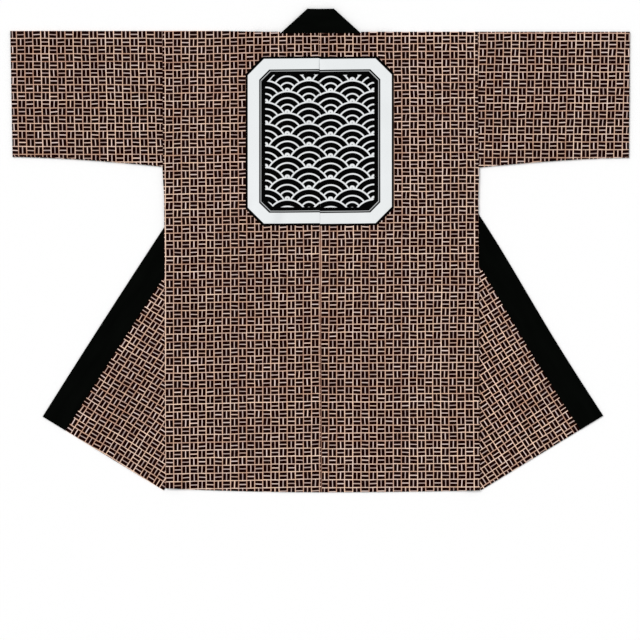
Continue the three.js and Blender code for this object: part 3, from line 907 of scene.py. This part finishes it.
def weave(x, y, pitch):
    """A plain weave in metres: warp and weft swap at every thread, as the product of two sines."""
    across = (x * (2 * math.pi / pitch)).sine()
    along = (y * (2 * math.pi / pitch)).sine()
    return across * along


def octagon(x, y, half_width, half_height, cut):
    """Distance outside a rectangle with cut corners, from the sizes of x and y: the greatest of the
    distances past its sides and its cuts."""
    slant = (x + y - (half_width + half_height - cut)) * math.sqrt(0.5)
    return (x - half_width).most(y - half_height).most(slant)


def line_colour(f, x, y, patch, colours):
    """The lines between the cells. Each column and each row has a brightness of its own, and soft
    patches add to it."""
    near_column = (x + 0.5).floor()
    near_row = (y + 0.5).floor()
    column_light = f.chance(near_column, 3.0, 7.0)
    row_light = f.chance(5.0, near_row, 8.0)
    on_column = abs(x - near_column).below(abs(y - near_row))
    line_light = row_light.blend(column_light, on_column)
    lit = (line_light * 0.4 + patch * 0.6).eased(0.2, 0.8)
    return f.mix(lit, colours["line_dark"], colours["line_light"])


def printed_cells(f, colours, sizes):
    """The print in columns and rows of cells. Each cell holds two dark bars, standing in one cell and
    lying in the next. Every cell's bars lean and shift a little of their own, the lines between
    them wander and vary in width and brightness, and the bars' edges are soft."""
    column, row = f.map("Print")
    x = column + (f.cloud(column, row, 1.3, WANDER_SCALE) - 0.5) * sizes.wander
    y = row + (f.cloud(column, row, 4.1, WANDER_SCALE) - 0.5) * sizes.wander
    x = x + (f.cloud(column, row, 2.7, TREMBLE_SCALE) - 0.5) * TREMBLE
    y = y + (f.cloud(column, row, 5.9, TREMBLE_SCALE) - 0.5) * TREMBLE
    i = x.floor()
    j = y.floor()
    in_x = x - i
    in_y = y - j
    standing = ((i + j) * 0.5).fraction() * 2.0
    across = in_y.blend(in_x, standing)
    along = in_x.blend(in_y, standing)
    tilt = f.chance(i, j, 1.0) - 0.5
    lean = tilt * tilt * tilt * sizes.bar_lean
    shift = (f.chance(i, j, 2.0) - 0.5) * BAR_SHIFT
    across = across + lean * (along - 0.5) + shift
    from_middle = abs(across - 0.5)
    from_end = abs(along - 0.5)
    middle_half = f.chance(i, j, 3.0) * MIDDLE_SPREAD + MIDDLE_HALF
    inside = (from_middle - middle_half).least(-from_middle + BAR_SIDE).least(-from_end + BAR_END)
    bar = inside.eased(-DYE_SOFT, DYE_SOFT)
    core = inside.eased(DYE_SOFT, DYE_SOFT + DYE_EDGE)

    patch = f.cloud(column, row, 8.2, 0.8)
    line = line_colour(f, x, y, patch, colours)
    in_middle = from_middle.below(MIDDLE_ZONE[0]) * from_end.below(MIDDLE_ZONE[1])
    middle_light = f.chance(i, j, 4.0) * 0.8 + patch * 0.2
    middle = f.mix(middle_light, colours["middle_dark"], colours["middle_light"])
    cell_warmth = f.chance(i, j, 6.0) * in_middle
    warmth = (f.cloud(column, row, 6.6, 0.9) + cell_warmth * 0.5).eased(0.3, 0.8)
    ground = f.tinted(f.mix(in_middle, line, middle), f.mix(warmth, WARM, COOL))
    bar_patch = f.cloud(column, row, 9.4, 1.7)
    dark = f.mix(bar_patch, colours["bar_dark"], colours["bar_light"])
    return f.mix(bar, ground, f.mix(core, colours["bar_edge"], dark))


def seam_shades(f, y, colour, colours):
    """Below the panel, painted shade lies along the centre seam as a thin line of the seam colour,
    where the two halves turn down to meet. Where the cloth turns under the band, painted shade darkens
    it."""
    to_centre, to_band = f.map("Seams")
    # Painted shade: a thin line along the centre seam below the panel's middle, and a darkening where
    # the cloth turns under the band
    centre = to_centre.eased(*CENTRE_SHADE).opposite() * y.below(0.0)
    band = to_band.eased(*BAND_SHADE).opposite()
    colour = f.mix(centre, colour, colours["seam"])
    return f.tinted(colour, f.mix(band, (1.0, 1.0, 1.0), BAND_TINT))


def wave_lines(x, y, radius):
    """Rows of overlapping waves, as 1 on a line and 0 off it. A wave is the nearest circle of three
    rows, and its lines are rings round that circle's middle."""
    across = x * (1 / radius) + WAVE_START[0]
    up = y * (2 / radius) + WAVE_START[1]
    low_row = up.floor()
    away = []
    for step in (-1.0, 0.0, 1.0):
        row = low_row + step
        dx = (across * 0.5 - (row * 0.5).fraction() + 0.5).fraction() - 0.5
        dy = (up - row) * 0.25
        away.append((dx * dx + dy * dy).root() * 2.0)
    low, middle, high = away
    wave = high.blend(middle, middle.below(1.0)).blend(low, low.below(1.0))
    rings = [abs(wave - at).eased(half - RING_SOFT, half + RING_SOFT) for at, half in WAVE_RINGS]
    off_lines = rings[0]
    for ring in rings[1:]:
        off_lines = off_lines.least(ring)
    return off_lines.opposite()


def panel_colour(f, x, y, cloth, colours, wave_radius):
    """The panel on the back, from places in metres from its middle: a white frame with cut corners
    between thin black lines, and a black field with rows of waves in white line."""
    black = colours["panel_black"]
    white = colours["panel_white"]

    def inside(outline):
        return octagon(abs(x), abs(y), *outline).eased(-PANEL_SOFT, PANEL_SOFT).opposite()

    colour = f.mix(inside(BLACK_OUTER), cloth, black)
    colour = f.mix(inside(WHITE_OUTER), colour, white)
    colour = f.mix(inside(WHITE_INNER), colour, black)
    thin = inside(THIN_OUTER) * inside(THIN_INNER).opposite()
    colour = f.mix(thin * THIN_SHARE, colour, white)
    return f.mix(wave_lines(x, y, wave_radius) * inside(WAVE_FIELD), colour, white)


def printed_cotton(name, colours, sizes, with_panel):
    """Printed cotton: the cells, on the body the panel, worn a little by soft patches, with a plain
    weave that the light picks out."""
    f = Finish(name)
    colour = printed_cells(f, colours, sizes)
    x, y = f.map("Cut")
    if with_panel:
        # On the body, painted shade along the centre seam and where the cloth turns under the band
        cloth = seam_shades(f, y, colour, colours)
        colour = panel_colour(f, x, y, cloth, colours, sizes.wave_radius)
    wear = f.cloud(x, y, 0.7, 9.0) * WEAR + (1.0 - WEAR / 2)
    threads = weave(x, y, sizes.print_thread)
    colour = f.scaled(colour, wear * (threads * THREAD_TONE + 1.0))
    f.tree.links.new(colour, f.shader.inputs["Base Color"])
    slub = f.cloud(x, y, 3.3, 700.0)
    f.bump(threads + slub * SLUB)
    f.cotton(0.92)
    return f.material


def black_cotton(name, colours, sizes):
    """Plain black cotton with a fine weave and faint slubs along its threads."""
    f = Finish(name)
    x, y = f.map("Cut")
    tone = f.cloud(x, y * 0.2, 1.1, 60.0)
    colour = f.mix(tone, colours["band_dark"], colours["band_light"])
    f.tree.links.new(colour, f.shader.inputs["Base Color"])
    f.bump(weave(x, y, sizes.band_thread) + f.cloud(x, y, 2.2, 500.0))
    f.cotton(0.9)
    return f.material


def plain(name, colour):
    """An even finish for the floor."""
    f = Finish(name)
    f.shader.inputs["Base Color"].default_value = (*colour, 1.0)
    f.shader.inputs["Roughness"].default_value = 0.9
    f.shader.inputs["Specular IOR Level"].default_value = 0.2
    return f.material


# Settings that a user would change

def colour_setting(name, text, r, g, b):
    """A colour property from a colour as it looks on the screen, out of 255."""
    return bpy.props.FloatVectorProperty(
        name=name,
        description=text,
        subtype="COLOR",
        size=3,
        min=0.0,
        max=1.0,
        default=linear(r / 255, g / 255, b / 255),
    )


def number_setting(name, text, default, least, **more):
    """A number property with its least value."""
    return bpy.props.FloatProperty(name=name, description=text, default=default, min=least, **more)


class HantenColours(bpy.types.PropertyGroup):
    """Colours of the cloth, the band and the panel."""

    line_dark: colour_setting("Dark line", "Lines between cells where they are dull", 189, 151, 133)
    line_light: colour_setting("Light line", "Lines between cells where they are clear", 255, 226, 208)
    middle_dark: colour_setting("Dark middle", "Line between two bars, if dull", 163, 140, 132)
    middle_light: colour_setting("Light middle", "Line between two bars, if clear", 252, 224, 211)
    bar_dark: colour_setting("Dark bar", "Bars where the dye is full", 5, 0, 0)
    bar_light: colour_setting("Light bar", "Bars where the dye is thin", 27, 4, 1)
    bar_edge: colour_setting("Edge of a bar", "Where the dye runs out", 92, 44, 26)
    # Painted shade: the colour of the crease where the two halves turn down to meet at the centre seam
    seam: colour_setting("Centre seam", "Where the two halves turn down to meet", 140, 104, 88)
    panel_black: colour_setting("Panel black", "Field and outlines of the panel", 3, 3, 3)
    panel_white: colour_setting("Panel white", "Frame and waves of the panel", 236, 239, 240)
    band_dark: colour_setting("Dark band", "Collar band where it is darkest", 1, 2, 1)
    band_light: colour_setting("Light band", "Collar band where it is lightest", 7, 9, 7)
    floor: colour_setting("Floor", "The floor that the coat lies on", 255, 255, 255)


class HantenSizes(bpy.types.PropertyGroup):
    """Sizes of the creases, the print, the panel's waves and the threads."""

    crease_height: number_setting("Creases", "Height of the finer creases, 1 as they lie", 1.0, 0.0)
    wander: number_setting("Wander", "How far the print's lines wander, in cells", 0.14, 0.0)
    bar_lean: number_setting("Lean", "How much the print's bars lean", 0.55, 0.0)
    wave_radius: number_setting(
        "Wave radius", "Radius of a wave of the panel", 0.04, 0.005, unit="LENGTH", precision=4
    )
    print_thread: number_setting(
        "Print thread", "Pitch of the printed weave", 0.0012, 0.0002, unit="LENGTH", precision=5
    )
    band_thread: number_setting(
        "Band thread", "Pitch of the band's weave", 0.001, 0.0002, unit="LENGTH", precision=5
    )


class HantenStage(bpy.types.PropertyGroup):
    """Sizes and strengths of the floor, the light and the camera."""

    picture_width: number_setting(
        "Picture width", "Width of the floor that the picture shows", 1.184, 0.1, unit="LENGTH"
    )
    lens: number_setting("Lens", "Focal length of the camera in millimetres", 100.0, 10.0)
    floor_width: number_setting("Floor width", "Width of the floor", 24.0, 2.0, unit="LENGTH")
    sky: number_setting("Sky", "Strength of the even light from all round", 0.71, 0.0)
    lamp: number_setting("Lamp", "Strength of the soft light from one side", 1.36, 0.0)


# The camera's place over the floor and its sensor, the floor's depth and the lamp's turn and width
CAMERA_AT = (-0.0002, -0.1284)
SENSOR_WIDTH = 36.0
FLOOR_DEPTH = 0.0003
LAMP_TURN = (math.radians(-32), math.radians(-38), 0.0)
LAMP_WIDTH = math.radians(22)


def palette(context):
    """The colour settings as plain values by name."""
    settings = context.scene.hanten_colours
    return {name: tuple(getattr(settings, name)) for name in settings.__annotations__}


def finish_piece(piece, node):
    """Puts a piece under the root body and hides the solid that it stands for."""
    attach(piece, "root")
    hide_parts(node)


class HANTEN_OT_bodies(bpy.types.Operator):
    """Makes the two body lengths with their folded fronts and the panel on the back"""

    bl_idname = "hanten.bodies"
    bl_label = "Body lengths"

    def execute(self, context):
        sizes = context.scene.hanten_sizes
        cotton = printed_cotton("Printed cotton with panel", palette(context), sizes, True)
        for side, s in SIDES.items():
            name = f"body_{side}"
            points, maps, keep = body_grid(s, name, sizes.crease_height)
            flipped = s.sign > 0
            piece = cloth_object(f"{name}_cloth", points, maps, keep, WALL, cotton, flipped)
            finish_piece(piece, name)
        return {"FINISHED"}


class HANTEN_OT_sleeves(bpy.types.Operator):
    """Makes the two sleeves"""

    bl_idname = "hanten.sleeves"
    bl_label = "Sleeves"

    def execute(self, context):
        sizes = context.scene.hanten_sizes
        cotton = printed_cotton("Printed cotton", palette(context), sizes, False)
        for side, s in SIDES.items():
            name = f"sleeve_{side}"
            points, maps, keep = sleeve_grid(s, name, sizes.crease_height)
            flipped = s.sign < 0
            piece = cloth_object(f"{name}_cloth", points, maps, keep, WALL, cotton, flipped)
            finish_piece(piece, name)
        return {"FINISHED"}


class HANTEN_OT_collar(bpy.types.Operator):
    """Makes the collar band"""

    bl_idname = "hanten.collar"
    bl_label = "Collar band"

    def execute(self, context):
        cotton = black_cotton("Black cotton", palette(context), context.scene.hanten_sizes)
        points, maps, keep = collar_grid()
        piece = cloth_object("collar_cloth", points, maps, keep, COLLAR_WALL, cotton, False)
        finish_piece(piece, "collar")
        return {"FINISHED"}


class HANTEN_OT_stage(bpy.types.Operator):
    """Makes the floor, the light and the camera straight above"""

    bl_idname = "hanten.stage"
    bl_label = "Floor, light and camera"

    def execute(self, context):
        scene = context.scene
        stage = scene.hanten_stage
        half = stage.floor_width / 2
        corners = [(-half, -half), (half, -half), (half, half), (-half, half)]
        mesh = bpy.data.meshes.new("floor")
        mesh.from_pydata([(x, y, -FLOOR_DEPTH) for x, y in corners], [], [(0, 1, 2, 3)])
        mesh.materials.append(plain("Pale floor", palette(context)["floor"]))
        floor = bpy.data.objects.new("floor", mesh)
        scene.collection.objects.link(floor)

        world = bpy.data.worlds.new("Even sky")
        world.use_nodes = True
        sky = world.node_tree.nodes["Background"]
        sky.inputs["Color"].default_value = (1.0, 1.0, 1.0, 1.0)
        sky.inputs["Strength"].default_value = stage.sky
        scene.world = world

        lamp = bpy.data.lights.new("Soft lamp", "SUN")
        lamp.energy = stage.lamp
        lamp.angle = LAMP_WIDTH
        lamp_object = bpy.data.objects.new("Soft lamp", lamp)
        lamp_object.rotation_euler = LAMP_TURN
        scene.collection.objects.link(lamp_object)

        eye = bpy.data.cameras.new("Camera")
        eye.lens = stage.lens
        eye.sensor_width = SENSOR_WIDTH
        eye.clip_end = 100.0
        camera = bpy.data.objects.new("Camera", eye)
        camera.location = (*CAMERA_AT, stage.picture_width * stage.lens / SENSOR_WIDTH)
        scene.collection.objects.link(camera)
        scene.camera = camera
        scene.view_settings.view_transform = "Standard"
        return {"FINISHED"}


class HANTEN_PT_panel(bpy.types.Panel):
    """Lists the steps and the settings in the 3D view's sidebar"""

    bl_idname = "HANTEN_PT_panel"
    bl_label = "Hanten"
    bl_space_type = "VIEW_3D"
    bl_region_type = "UI"
    bl_category = "Hanten"

    def draw(self, context):
        for step in STEPS:
            self.layout.operator(step.bl_idname)
        for setting in SETTINGS:
            group = getattr(context.scene, setting)
            for name in group.__annotations__:
                self.layout.prop(group, name)


STEPS = (HANTEN_OT_bodies, HANTEN_OT_sleeves, HANTEN_OT_collar, HANTEN_OT_stage)
SETTINGS = {
    "hanten_colours": HantenColours,
    "hanten_sizes": HantenSizes,
    "hanten_stage": HantenStage,
}
CLASSES = (*SETTINGS.values(), *STEPS, HANTEN_PT_panel)


def register():
    """Adds the classes and the settings to Blender."""
    for item in CLASSES:
        bpy.utils.register_class(item)
    for setting, group in SETTINGS.items():
        setattr(bpy.types.Scene, setting, bpy.props.PointerProperty(type=group))


def unregister():
    """Takes the classes and the settings out of Blender."""
    for setting in SETTINGS:
        delattr(bpy.types.Scene, setting)
    for item in reversed(CLASSES):
        bpy.utils.unregister_class(item)


def main():
    """Makes every piece and the stage."""
    register()
    bpy.ops.hanten.bodies()
    bpy.ops.hanten.sleeves()
    bpy.ops.hanten.collar()
    bpy.ops.hanten.stage()


if __name__ == "__main__":
    main()
